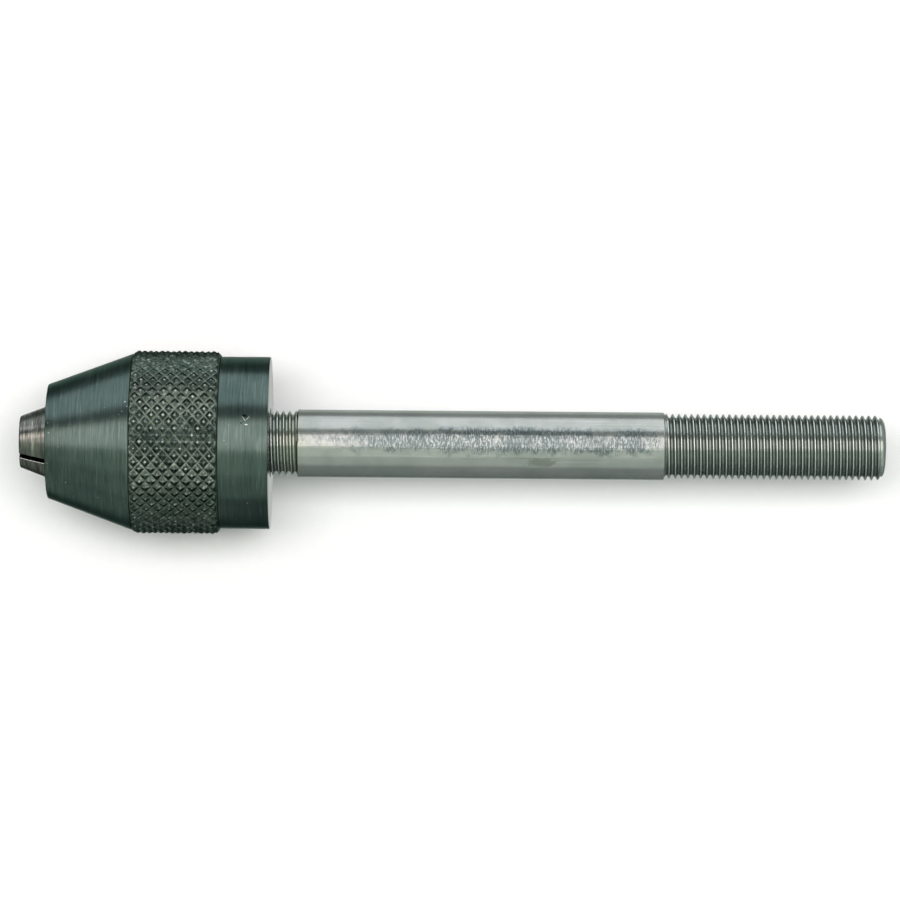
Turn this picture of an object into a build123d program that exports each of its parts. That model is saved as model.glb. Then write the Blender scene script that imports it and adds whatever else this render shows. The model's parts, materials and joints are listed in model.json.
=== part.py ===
from build123d import *
import math
import os

# Drill chuck with a screw shell, on a long shank threaded at both ends.
#
# The shell (nose cone, knurled sleeve and rear cap) screws along the shank's front thread. Its conical bore slides
# over three jaws, which stand in radial T slots of a carrier that turns on the shank's tip against a ball thrust
# bearing. Turned back towards the shank, the cone closes the jaws. Turned out, it lets the coil springs between the
# jaws spread them. Guide pins in the carrier run in keyways of the shell, so carrier and jaws turn with it.
#
# The chuck's axis lies along X, with the nose towards -X, the shank towards +X and +Z up. The origin is on the axis
# at the front shoulder of the plain shank. Lengths are in millimetres. Each piece stands where it is at rest, with
# the jaws open for a 1.2 mm tool. Angles about the axis are counted from +Z towards -Y.

# ---------------------------------------------------------------- driving dimensions
# Thread of both shank ends: M8 x 0.75 with worn crests
pitch = 0.75
thread_crest_d = 7.70
thread_depth = 0.6134 * pitch
nut_clearance = 0.05

# Shank
shank_d = 8.0
shank_length = 43.3
rear_thread_length = 26.2
front_thread_length = 14.7
end_chamfer_length = 0.6
end_chamfer_depth = 1.0
spigot_d = 5.0
centre_hole_d = 1.6

# Shell, measured from its back face, which stands clear of the shank's shoulder at rest
shell_back = -3.3
cap_d = 20.4
cap_length = 5.9
knurl_d = 21.75
knurl_length = 10.4
knurl_chamfer = 0.5
cone_large_d = 20.9
cone_small_d = 13.55
cone_length = 10.0
edge_chamfer = 0.15
barrel_d = 19.4
barrel_bore_d = 17.4
cap_spigot_length = 4.0
cap_recess_d = 15.2
nut_length = 6.9

# Jaw cone and the travel of the shell along the thread
cone_slope = 0.38
nose_mouth_d = 8.84
closing_turns = 1.2
opening_turns = 5.5

# Jaws
jaw_count = 3
first_jaw_angle = 96
jaw_stick_out = 3.3
jaw_length = 12.1
jaw_rear_d = 13.3
jaw_clearance = 0.03
closed_gap = 0.03
grip_d = 1.2
grip_length = 8.4
relief_d = 3.2

# Jaw tails and the carrier's T slots
tail_inner = 4.0
tail_outer = 6.5
neck_width = 1.6
neck_length = 1.15
head_width = 3.0
head_length = 1.3
slot_clearance = 0.05

# Springs between the jaws
spring_from_tip = 9.6
spring_circle_r = 4.2
spring_d = 1.6
wire_d = 0.25
spring_turns = 9
pocket_d = 1.7
pocket_depth = 3.3
spring_length = 6.6

# Thrust bearing and carrier
race_d = 9.4
race_thickness = 0.5
ball_d = 1.2
ball_count = 12
ball_circle_r = 3.6
ball_clearance = 0.01
cage_thickness = 0.7
cage_d = 9.2
carrier_d = 14.0
carrier_length = 3.8
carrier_recess_d = 6.0
carrier_recess_depth = 1.3
running_clearance = 0.05

# Guide pins, retaining screw and its washer
guide_pin_d = 1.5
guide_pin_inner = 4.0
guide_pin_outer = 9.1
keyway_top = 9.2
washer_d = 5.8
washer_thickness = 0.4
screw_d = 2.5
screw_length = 6.0
screw_end_space = 1.0
screw_head_d = 4.4
screw_head_length = 0.8
driver_slot_width = 0.6
driver_slot_depth = 0.4
fit_clearance = 0.02

# ---------------------------------------------------------------- derived stations and radii
axis_direction = Vector(1, 0, 0)
crest_r = thread_crest_d / 2
root_r = crest_r - thread_depth
crest_flat = pitch / 8
flank_slope = math.tan(math.radians(30))
flank = thread_depth * flank_slope
root_flat = pitch - crest_flat - 2 * flank

cap_front = shell_back - cap_length
sleeve_front = cap_front - knurl_length
nose_face = sleeve_front - cone_length
barrel_back = cap_front - fit_clearance
nut_front = shell_back - nut_length

bearing_back = -front_thread_length
ball_gap = ball_d + 2 * ball_clearance
ball_x = bearing_back - race_thickness - ball_gap / 2
carrier_back = bearing_back - 2 * race_thickness - ball_gap
carrier_front = carrier_back - carrier_length
recess_floor = carrier_front + carrier_recess_depth
spigot_end = recess_floor - running_clearance
screw_seat = spigot_end - washer_thickness

jaw_tip = nose_face - jaw_stick_out
jaw_back = jaw_tip + jaw_length
jaw_spacing = 360 / jaw_count
jaw_angles = [first_jaw_angle + number * jaw_spacing for number in range(jaw_count)]
slit_angles = [angle + jaw_spacing / 2 for angle in jaw_angles]
half_spacing = math.radians(jaw_spacing / 2)
rest_lift = closing_turns * pitch * cone_slope
rest_half_gap = closed_gap / 2 + rest_lift * math.sin(half_spacing)
closed_nose_face = nose_face + closing_turns * pitch
spring_x = jaw_tip + spring_from_tip
guide_x = (carrier_back + carrier_front) / 2


def cone_radius(x, face, mouth_r):
    """Radius at station x of a cone with the jaws' slope whose mouth lies at station face."""
    return mouth_r + cone_slope * (x - face)


def cone_station(radius, face, mouth_r):
    """Station where that cone reaches a radius."""
    return face + (radius - mouth_r) / cone_slope


def outward(angle):
    """Unit vector away from the axis at an angle from +Z towards -Y."""
    return Vector(0, -math.sin(math.radians(angle)), math.cos(math.radians(angle)))


def onward(angle):
    """Unit vector along the circumference at an angle, towards larger angles."""
    return axis_direction.cross(outward(angle))


def profile_plane(angle=0.0, lift=0.0):
    """Plane through the axis: its X runs along the axis and its Y outwards at the angle, from a lifted axis."""
    return Plane(
        origin=lift * outward(angle),
        x_dir=axis_direction,
        z_dir=onward(angle),
    )


def facing_plane(x, angle=0.0, lift=0.0):
    """Plane across the axis at station x, facing +X, with its X outwards at the angle, from a lifted axis."""
    return Plane(
        origin=x * axis_direction + lift * outward(angle),
        x_dir=outward(angle),
        z_dir=axis_direction,
    )


def radial_plane(x, angle, distance):
    """Plane facing outwards at the angle, at a distance from the axis, with its X along the axis."""
    return Plane(
        origin=x * axis_direction + distance * outward(angle),
        x_dir=axis_direction,
        z_dir=outward(angle),
    )


def thread_ridges(start, ridge_count):
    """Outline of 60 degree ridges one pitch apart, from station start towards +X."""
    points = []
    for ridge in range(ridge_count):
        x = start + ridge * pitch
        points += [
            (x, root_r),
            (x + root_flat, root_r),
            (x + root_flat + flank, crest_r),
            (x + root_flat + flank + crest_flat, crest_r),
        ]
    return points


def save(piece, name):
    """Labels a finished piece and writes its STEP file."""
    piece.part.label = name
    export_step(piece.part, f"parts/{name}.step")


os.makedirs("parts", exist_ok=True)

# ---------------------------------------------------------------- shank
shank_r = shank_d / 2
shank_end = shank_length + rear_thread_length
shoulder_flank = (shank_r - root_r) * flank_slope
front_ridge_count = int((front_thread_length - shoulder_flank) // pitch)
front_runout = bearing_back + front_ridge_count * pitch
rear_ridges_start = shank_length + shoulder_flank
rear_chamfer_start = shank_end - end_chamfer_length
rear_ridge_count = int((rear_chamfer_start - rear_ridges_start) // pitch)
screw_hole_length = screw_length + screw_end_space
centre_cone_length = centre_hole_d

with BuildPart() as threaded_shank:
    with BuildSketch(profile_plane()):
        with BuildLine():
            Polyline(
                (spigot_end, 0),
                (spigot_end, spigot_d / 2),
                (bearing_back, spigot_d / 2),
                *thread_ridges(bearing_back, front_ridge_count),
                (front_runout, root_r),
                (-shoulder_flank, root_r),
                (0, shank_r),
                (shank_length, shank_r),
                *thread_ridges(rear_ridges_start, rear_ridge_count + 1)[:-1],
                (rear_chamfer_start, crest_r),
                (shank_end, crest_r - end_chamfer_depth),
                (shank_end, 0),
                close=True,
            )
        make_face()
    revolve(axis=Axis.X)
    # Tapped hole for the retaining screw, and a centre hole left from turning the shank
    with BuildSketch(facing_plane(spigot_end)):
        Circle(screw_d / 2 + fit_clearance)
    extrude(amount=screw_hole_length, mode=Mode.SUBTRACT)
    with BuildSketch(profile_plane()):
        with BuildLine():
            Polyline(
                (shank_end, 0),
                (shank_end, centre_hole_d / 2),
                (shank_end - centre_cone_length, 0),
                close=True,
            )
        make_face()
    revolve(axis=Axis.X, mode=Mode.SUBTRACT)
save(threaded_shank, "threaded_shank")

# ---------------------------------------------------------------- shell
with BuildPart() as rear_cap:
    with BuildSketch(profile_plane()):
        with BuildLine():
            Polyline(
                (shell_back, crest_r + nut_clearance + edge_chamfer),
                (shell_back, cap_d / 2 - edge_chamfer),
                (shell_back - edge_chamfer, cap_d / 2),
                (cap_front, cap_d / 2),
                (cap_front, barrel_bore_d / 2 - fit_clearance),
                (cap_front - cap_spigot_length, barrel_bore_d / 2 - fit_clearance),
                (cap_front - cap_spigot_length, cap_recess_d / 2),
                (nut_front, cap_recess_d / 2),
                (nut_front, crest_r + nut_clearance),
                (shell_back - edge_chamfer, crest_r + nut_clearance),
                close=True,
            )
        make_face()
    revolve(axis=Axis.X)
save(rear_cap, "rear_cap")

with BuildPart() as knurled_sleeve:
    with BuildSketch(facing_plane(sleeve_front)):
        Circle(knurl_d / 2)
        Circle(barrel_d / 2 + fit_clearance, mode=Mode.SUBTRACT)
    extrude(amount=knurl_length)
    rims = knurled_sleeve.edges().filter_by(GeomType.CIRCLE).group_by(SortBy.RADIUS)[-1]
    chamfer(rims, length=knurl_chamfer)
save(knurled_sleeve, "knurled_sleeve")

bore_full_x = cone_station(barrel_bore_d / 2, nose_face, nose_mouth_d / 2)
keyway_start = guide_x - closing_turns * pitch - guide_pin_d / 2 - running_clearance
keyway_depth = keyway_top - guide_pin_inner

with BuildPart() as nose_cone:
    with BuildSketch(profile_plane()):
        with BuildLine():
            Polyline(
                (nose_face, nose_mouth_d / 2 + edge_chamfer),
                (nose_face, cone_small_d / 2 - edge_chamfer),
                (nose_face + edge_chamfer, cone_small_d / 2),
                (sleeve_front - edge_chamfer, cone_large_d / 2),
                (sleeve_front, cone_large_d / 2 - edge_chamfer),
                (sleeve_front, barrel_d / 2),
                (barrel_back, barrel_d / 2),
                (barrel_back, barrel_bore_d / 2),
                (bore_full_x, barrel_bore_d / 2),
                (nose_face + edge_chamfer, cone_radius(nose_face + edge_chamfer, nose_face, nose_mouth_d / 2)),
                close=True,
            )
        make_face()
    revolve(axis=Axis.X)
    # Keyways for the guide pins, open towards the back
    with BuildSketch(*[radial_plane(keyway_start, angle, keyway_top) for angle in slit_angles]):
        keyway_width = guide_pin_d + 2 * running_clearance
        with Locations((keyway_width / 2, 0)):
            Circle(keyway_width / 2)
        keyway_run = barrel_back - keyway_start
        with Locations((keyway_width / 2 + keyway_run / 2, 0)):
            Rectangle(keyway_run, keyway_width)
    extrude(amount=-keyway_depth, mode=Mode.SUBTRACT)
save(nose_cone, "nose_cone")

# ---------------------------------------------------------------- thrust bearing
for race_name, race_back in (("rear_race", bearing_back), ("front_race", carrier_back + race_thickness)):
    with BuildPart() as race:
        with BuildSketch(facing_plane(race_back)):
            Circle(race_d / 2)
            Circle(spigot_d / 2 + running_clearance, mode=Mode.SUBTRACT)
        extrude(amount=-race_thickness)
    save(race, race_name)

with BuildPart() as ball_cage:
    with BuildSketch(facing_plane(ball_x)):
        Circle(cage_d / 2)
        Circle(spigot_d / 2 + 2 * running_clearance, mode=Mode.SUBTRACT)
        with PolarLocations(ball_circle_r, ball_count):
            Circle(ball_d / 2 + running_clearance, mode=Mode.SUBTRACT)
    extrude(amount=cage_thickness / 2, both=True)
save(ball_cage, "ball_cage")

with BuildPart() as thrust_balls:
    with Locations(facing_plane(ball_x)):
        with PolarLocations(ball_circle_r, ball_count):
            Sphere(ball_d / 2)
save(thrust_balls, "thrust_balls")

# ---------------------------------------------------------------- jaw carrier
neck_back = jaw_back + neck_length
head_back = neck_back + head_length
slot_inner = tail_inner - rest_lift - 2 * running_clearance

with BuildPart() as jaw_carrier:
    with BuildSketch(facing_plane(carrier_front)):
        Circle(carrier_d / 2)
        Circle(spigot_d / 2 + running_clearance, mode=Mode.SUBTRACT)
    extrude(amount=carrier_length)
    with BuildSketch(facing_plane(carrier_front)):
        Circle(carrier_recess_d / 2)
    extrude(amount=carrier_recess_depth, mode=Mode.SUBTRACT)
    # T slots, open at the rim and at the front
    with BuildSketch(*[radial_plane(0, angle, slot_inner) for angle in jaw_angles]):
        slot_mouth = carrier_front - running_clearance
        head_front = neck_back - slot_clearance
        head_end = head_back + slot_clearance
        with Locations(((slot_mouth + head_end) / 2, 0)):
            Rectangle(head_end - slot_mouth, neck_width + 2 * slot_clearance)
        with Locations(((head_front + head_end) / 2, 0)):
            Rectangle(head_end - head_front, head_width + 2 * slot_clearance)
    extrude(amount=carrier_d / 2, mode=Mode.SUBTRACT)
    # Holes for the guide pins
    with BuildSketch(*[radial_plane(guide_x, angle, guide_pin_inner) for angle in slit_angles]):
        Circle(guide_pin_d / 2 + fit_clearance)
    extrude(amount=carrier_d / 2, mode=Mode.SUBTRACT)
save(jaw_carrier, "jaw_carrier")

with BuildPart() as guide_pins:
    with BuildSketch(*[radial_plane(guide_x, angle, guide_pin_inner) for angle in slit_angles]):
        Circle(guide_pin_d / 2)
    extrude(amount=guide_pin_outer - guide_pin_inner)
save(guide_pins, "guide_pins")

with BuildPart() as carrier_washer:
    with BuildSketch(facing_plane(spigot_end)):
        Circle(washer_d / 2)
        Circle(screw_d / 2 + running_clearance, mode=Mode.SUBTRACT)
    extrude(amount=-washer_thickness)
save(carrier_washer, "carrier_washer")

with BuildPart() as carrier_screw:
    with BuildSketch(facing_plane(screw_seat)):
        Circle(screw_head_d / 2)
    extrude(amount=-screw_head_length)
    with BuildSketch(facing_plane(screw_seat)):
        Circle(screw_d / 2)
    extrude(amount=screw_length)
    with BuildSketch(facing_plane(screw_seat - screw_head_length)):
        Rectangle(screw_head_d, driver_slot_width)
    extrude(amount=driver_slot_depth, mode=Mode.SUBTRACT)
save(carrier_screw, "carrier_screw")

# ---------------------------------------------------------------- jaws and their springs
tip_r = cone_radius(jaw_tip, closed_nose_face, nose_mouth_d / 2) - jaw_clearance
cone_end_x = cone_station(jaw_rear_d / 2 + jaw_clearance, closed_nose_face, nose_mouth_d / 2)
wedge_apex = closed_gap / 2 / math.sin(half_spacing)
wedge_reach = knurl_d
grip_lead = 0.3
tail_height = tail_outer - tail_inner

for number, angle in enumerate(jaw_angles, start=1):
    with BuildPart() as jaw:
        # Turned blank about the jaw's own axis, which the chuck's axis meets when the jaws are closed
        with BuildSketch(profile_plane(angle, rest_lift)):
            with BuildLine():
                Polyline(
                    (jaw_tip, 0),
                    (jaw_tip, tip_r - edge_chamfer),
                    (jaw_tip + edge_chamfer, tip_r + cone_slope * edge_chamfer),
                    (cone_end_x, jaw_rear_d / 2),
                    (jaw_back, jaw_rear_d / 2),
                    (jaw_back, 0),
                    close=True,
                )
            make_face()
        revolve(axis=Axis(profile_plane(angle, rest_lift).origin, axis_direction))
        # One sector of the blank
        with BuildSketch(facing_plane(jaw_tip, angle, rest_lift + wedge_apex)):
            with BuildLine():
                half_width = wedge_reach * math.tan(half_spacing)
                Polyline((0, 0), (wedge_reach, half_width), (wedge_reach, -half_width), close=True)
            make_face()
        extrude(amount=jaw_length, mode=Mode.INTERSECT)
        # Grip, its lead-in and the relief behind it
        with BuildSketch(profile_plane(angle)):
            with BuildLine():
                Polyline(
                    (jaw_tip, 0),
                    (jaw_tip, grip_d / 2 + grip_lead),
                    (jaw_tip + grip_lead, grip_d / 2),
                    (jaw_tip + grip_lead + grip_length, grip_d / 2),
                    (jaw_tip + grip_lead + grip_length, relief_d / 2),
                    (jaw_back, relief_d / 2),
                    (jaw_back, 0),
                    close=True,
                )
            make_face()
        revolve(axis=Axis.X, mode=Mode.SUBTRACT)
        # Blind pockets for the springs in both slit faces
        for side in (-1, 1):
            slit_angle = angle + side * jaw_spacing / 2
            out_of_face = side * onward(slit_angle)
            mouth = spring_x * axis_direction + spring_circle_r * outward(slit_angle)
            with BuildSketch(Plane(origin=mouth, x_dir=axis_direction, z_dir=out_of_face)):
                Circle(pocket_d / 2)
            extrude(amount=-(rest_half_gap + pocket_depth), mode=Mode.SUBTRACT)
        # T shaped tail
        with BuildSketch(radial_plane(0, angle, tail_inner)):
            with Locations(((jaw_back + head_back) / 2, 0)):
                Rectangle(head_back - jaw_back, neck_width)
            with Locations(((neck_back + head_back) / 2, 0)):
                Rectangle(head_length, head_width)
        extrude(amount=tail_height)
    save(jaw, f"jaw_{number}")

    # Spring from the bottom of this jaw's pocket into the next jaw's pocket
    slit_angle = angle + jaw_spacing / 2
    towards_next = onward(slit_angle)
    coil_r = (spring_d - wire_d) / 2
    coil_height = spring_length - wire_d
    pocket_bottom = rest_half_gap + pocket_depth
    coil_start = (
        spring_x * axis_direction
        + spring_circle_r * outward(slit_angle)
        - (pocket_bottom - wire_d / 2) * towards_next
    )
    with BuildPart() as jaw_spring:
        with BuildLine():
            coil = Helix(
                pitch=coil_height / spring_turns,
                height=coil_height,
                radius=coil_r,
                center=coil_start,
                direction=towards_next,
            )
        with BuildSketch(Plane(origin=coil @ 0, z_dir=coil % 0)):
            Circle(wire_d / 2)
        sweep(path=coil, is_frenet=True)
    save(jaw_spring, f"jaw_spring_{number}")
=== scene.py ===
import json
import math
import random

import bmesh
import bpy
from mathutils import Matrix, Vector


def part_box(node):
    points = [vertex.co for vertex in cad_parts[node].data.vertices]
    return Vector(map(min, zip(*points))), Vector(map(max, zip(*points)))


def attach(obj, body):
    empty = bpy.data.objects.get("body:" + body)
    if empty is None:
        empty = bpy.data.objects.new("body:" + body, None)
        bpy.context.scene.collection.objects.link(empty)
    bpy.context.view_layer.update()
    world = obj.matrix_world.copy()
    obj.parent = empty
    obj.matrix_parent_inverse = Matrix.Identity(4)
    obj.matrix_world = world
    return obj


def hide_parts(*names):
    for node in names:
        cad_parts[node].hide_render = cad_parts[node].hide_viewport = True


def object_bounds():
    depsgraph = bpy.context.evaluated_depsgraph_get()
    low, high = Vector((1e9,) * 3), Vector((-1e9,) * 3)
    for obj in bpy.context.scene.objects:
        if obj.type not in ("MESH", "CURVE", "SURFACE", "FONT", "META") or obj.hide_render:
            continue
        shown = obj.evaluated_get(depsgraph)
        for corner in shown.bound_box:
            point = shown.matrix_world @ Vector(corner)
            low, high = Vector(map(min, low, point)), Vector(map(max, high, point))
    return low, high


# Looks of the screw-shell drill chuck. Metres, in the frame of the CAD model: the chuck's axis lies along X,
# nose towards -X, +Z up, and the origin is on the axis at the front shoulder of the plain shank.

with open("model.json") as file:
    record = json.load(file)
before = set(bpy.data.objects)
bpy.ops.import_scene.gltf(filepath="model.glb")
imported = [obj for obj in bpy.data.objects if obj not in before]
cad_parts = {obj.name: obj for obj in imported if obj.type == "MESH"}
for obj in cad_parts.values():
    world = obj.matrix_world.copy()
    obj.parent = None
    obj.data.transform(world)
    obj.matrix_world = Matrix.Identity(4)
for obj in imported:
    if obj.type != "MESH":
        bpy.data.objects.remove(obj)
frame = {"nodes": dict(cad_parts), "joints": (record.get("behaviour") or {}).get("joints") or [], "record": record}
cad_low, cad_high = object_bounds()
record = frame["record"]

MM = 0.001
AXIS = Vector((1, 0, 0))
HALF_JAW = math.pi / 3  # from the middle of a jaw to each of its slits
ON_STATION = 0.01 * MM  # CAD vertices this close to a station lie on it
SQUARE_TO = 0.99  # cosine above which a face is square to a direction
THREAD_DEPTH_SHARE = 0.6134  # depth of the thread's grooves, in pitches
MERGE_GAP = 0.0005 * MM
BOOLEAN_MERGE_GAP = 0.004 * MM


# ---------------------------------------------------------------- sizes, read from the frame
def named(rows, name):
    """The row of a list of records that has this name."""
    return next(row for row in rows if row["name"] == name)


def radii_at(node, x):
    """Distances from the axis, smallest first, of a CAD node's vertices at station x."""
    found = set()
    for vertex in frame["nodes"][node].data.vertices:
        if abs(vertex.co.x - x) < ON_STATION:
            found.add(round(math.hypot(vertex.co.y, vertex.co.z), 6))
    return sorted(found)


def stations(node):
    """Stations along the axis, front to back, of a CAD node's vertices."""
    return sorted({round(vertex.co.x, 6) for vertex in frame["nodes"][node].data.vertices})


def corners_at(node, x, out, side):
    """Places, in two directions across the axis, of a CAD node's vertices at station x."""
    vertices = [vertex.co for vertex in frame["nodes"][node].data.vertices]
    return [(place.dot(out), place.dot(side)) for place in vertices if abs(place.x - x) < ON_STATION]


def outward(angle):
    """Unit vector away from the axis, at an angle in radians from +Y towards +Z."""
    return Vector((0, math.cos(angle), math.sin(angle)))


def angle_of(direction):
    """Angle of a direction across the axis, in radians from +Y towards +Z."""
    return math.atan2(direction[2], direction[1])


joints = frame["joints"]
couplings = {c["joint"]: c["ratio"] for c in record["behaviour"]["couplings"]}
pitch = 2 * math.pi / couplings["sleeve_turn"]
cone_slope = couplings["jaw_1_slide"]
jaw_lift = -named(joints, "jaw_1_slide")["range_m"][0]
shell_closing = -named(joints, "shell_advance")["range_m"][0]
jaw_angles = {n: angle_of(named(joints, f"jaw_{n}_slide")["axis"]) for n in (1, 2, 3)}

shank_mount = named(record["mounts"], "shank")["dims"]
shank_r = shank_mount["r_mm"] * MM
shank_length = shank_mount["length_mm"] * MM
spigot_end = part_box("threaded_shank")[0].x
shank_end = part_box("threaded_shank")[1].x
bearing_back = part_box("rear_race")[1].x
spigot_r = radii_at("threaded_shank", spigot_end)[-1]
crest_r = named(record["mounts"], "rear_thread")["dims"]["r_mm"] * MM
thread_depth = THREAD_DEPTH_SHARE * pitch

shell_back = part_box("rear_cap")[1].x
cap_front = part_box("knurled_sleeve")[1].x
sleeve_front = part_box("knurled_sleeve")[0].x
nose_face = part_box("nose_cone")[0].x
cap_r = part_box("rear_cap")[1].z
knurl_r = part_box("knurled_sleeve")[1].z
cone_large_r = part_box("nose_cone")[1].z
jaw_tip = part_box("jaw_1")[0].x
jaw_back, neck_back, tail_end = stations("jaw_1")[-3:]

spring_low, spring_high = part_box("jaw_spring_1")
spring_middle = (spring_low + spring_high) / 2
spring_r = (spring_high.x - spring_low.x) / 2
spring_circle_r = math.hypot(spring_middle.y, spring_middle.z)
spring_direction = AXIS.cross(spring_middle).normalized()
spring_half = max(vertex.co.dot(spring_direction) for vertex in frame["nodes"]["jaw_spring_1"].data.vertices)


# ---------------------------------------------------------------- mesh helpers
def new_object(name, vertices, faces):
    """A mesh object with merged doubles, outward normals and smooth faces between its sharp edges."""
    mesh = bpy.data.meshes.new(name)
    mesh.from_pydata([tuple(v) for v in vertices], [], faces)
    clean(mesh, MERGE_GAP)
    smooth(mesh)
    thing = bpy.data.objects.new(name, mesh)
    bpy.context.scene.collection.objects.link(thing)
    return thing


def clean(mesh, gap):
    """Merges vertices closer than a gap, drops faces that are then of no size, and turns normals outward."""
    shell = bmesh.new()
    shell.from_mesh(mesh)
    bmesh.ops.remove_doubles(shell, verts=shell.verts, dist=gap)
    bmesh.ops.dissolve_degenerate(shell, edges=shell.edges, dist=gap)
    bmesh.ops.recalc_face_normals(shell, faces=shell.faces)
    shell.to_mesh(mesh)
    shell.free()


def smooth(mesh, sharp_degrees=38):
    """Smooth shading, kept sharp where faces meet at more than an angle."""
    mesh.shade_smooth()
    mesh.set_sharp_from_angle(angle=math.radians(sharp_degrees))


def grid_faces(row_count, column_count):
    """Quads between neighbouring rows of a grid whose vertices are numbered row by row."""
    faces = []
    for row in range(row_count - 1):
        for column in range(column_count - 1):
            corner = row * column_count + column
            faces.append((corner, corner + 1, corner + column_count + 1, corner + column_count))
    return faces


def rounded(corners, steps=3):
    """Closed outline of (x, r) points from corners (x, r, fillet), each fillet an arc of a few steps."""
    outline = []
    for number, (x, r, fillet) in enumerate(corners):
        here = Vector((x, r))
        if not fillet:
            outline.append(here)
            continue
        before = (Vector(corners[number - 1][:2]) - here).normalized()
        after = (Vector(corners[(number + 1) % len(corners)][:2]) - here).normalized()
        half = before.angle(after) / 2
        centre = here + (before + after).normalized() * fillet / math.sin(half)
        start = (here + before * fillet / math.tan(half) - centre).normalized()
        finish = (here + after * fillet / math.tan(half) - centre).normalized()
        for step in range(steps + 1):
            outline.append(centre + start.slerp(finish, step / steps) * fillet)
    return [(point.x, point.y) for point in outline]


def prism(outline, place, start, end):
    """Closed object from an outline of (u, v) points, which place(u, v, w) carries from w = start to end."""
    count = len(outline)
    vertices = [place(u, v, w) for w in (start, end) for u, v in outline]
    faces = [(k, (k + 1) % count, count + (k + 1) % count, count + k) for k in range(count)]
    faces += [tuple(range(count)), tuple(range(count, 2 * count))]
    return new_object("cutter", vertices, faces)


def combine(piece, operation, others):
    """Joins other objects to a piece, or cuts them out of it, for good."""
    for other in others:
        step = piece.modifiers.new("boolean", "BOOLEAN")
        step.operation = operation
        step.solver = "EXACT"
        step.object = other
    bpy.context.view_layer.update()
    evaluated = piece.evaluated_get(bpy.context.evaluated_depsgraph_get())
    mesh = bpy.data.meshes.new_from_object(evaluated)
    piece.modifiers.clear()
    piece.data = mesh
    for other in others:
        bpy.data.objects.remove(other)
    clean(mesh, BOOLEAN_MERGE_GAP)
    smooth(mesh)


def circle(u, v, radius, count=24):
    """Points (u, v) round a circle."""
    return [
        (u + radius * math.cos(2 * math.pi * k / count), v + radius * math.sin(2 * math.pi * k / count))
        for k in range(count)
    ]


def rectangle(u_low, u_high, v_low, v_high):
    """Corners (u, v) of a rectangle."""
    return [(u_low, v_low), (u_high, v_low), (u_high, v_high), (u_low, v_high)]


def on_ring(x, r, column, count):
    """Point at station x and radius r, at one of the count columns round the axis."""
    return AXIS * x + outward(2 * math.pi * column / count) * r


def along(second, third):
    """Place for a prism with u along the axis, and v and w along two other directions."""

    def place(u, v, w):
        return AXIS * u + second * v + third * w

    return place


def lathe(name, outline, segments=192):
    """Closed outline of (x, r) points turned about the X axis."""
    rows = outline + outline[:1]
    vertices = []
    for x, r in rows:
        for column in range(segments + 1):
            vertices.append(on_ring(x, r, column, segments))
    return new_object(name, vertices, grid_faces(len(rows), segments + 1))


# ---------------------------------------------------------------- shank with its two helical threads
# One turn of the thread's profile: share of the pitch, and height from root to crest
THREAD_PROFILE = [
    (0.00, 0.00),
    (0.10, 0.00),
    (0.14, 0.05),
    (0.27, 0.48),
    (0.40, 0.93),
    (0.44, 1.00),
    (0.56, 1.00),
    (0.60, 0.93),
    (0.73, 0.48),
    (0.86, 0.05),
    (0.90, 0.00),
]
SHANK_COLUMNS = 96


def thread_height(share):
    """Height of the thread's profile, 0 at the root and 1 at the crest, at a share of the pitch."""
    share %= 1
    points = THREAD_PROFILE + [(1.0, 0.0)]
    for (low, low_height), (high, high_height) in zip(points, points[1:]):
        if share <= high:
            return low_height + (high_height - low_height) * (share - low) / (high - low)
    return 0.0


def ramp(value, low, high):
    """0 before low, 1 after high, and a smooth rise between."""
    share = min(1.0, max(0.0, (value - low) / (high - low)))
    return share * share * (3 - 2 * share)


def thread_rows(start, end, phase, radius_at):
    """Rows of a right-hand helical thread from station start to end, of radius radius_at(x, turn share)."""
    turns = math.ceil((end - start) / pitch) + 2
    rows = []
    for turn in range(turns + 1):
        for share, _ in THREAD_PROFILE:
            row = []
            for column in range(SHANK_COLUMNS + 1):
                around = column / SHANK_COLUMNS
                x = min(end, max(start, start + (turn - 1 + share + around - phase) * pitch))
                row.append((x, radius_at(x, (x - start) / pitch - around + phase)))
            rows.append(row)
    return rows


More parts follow.
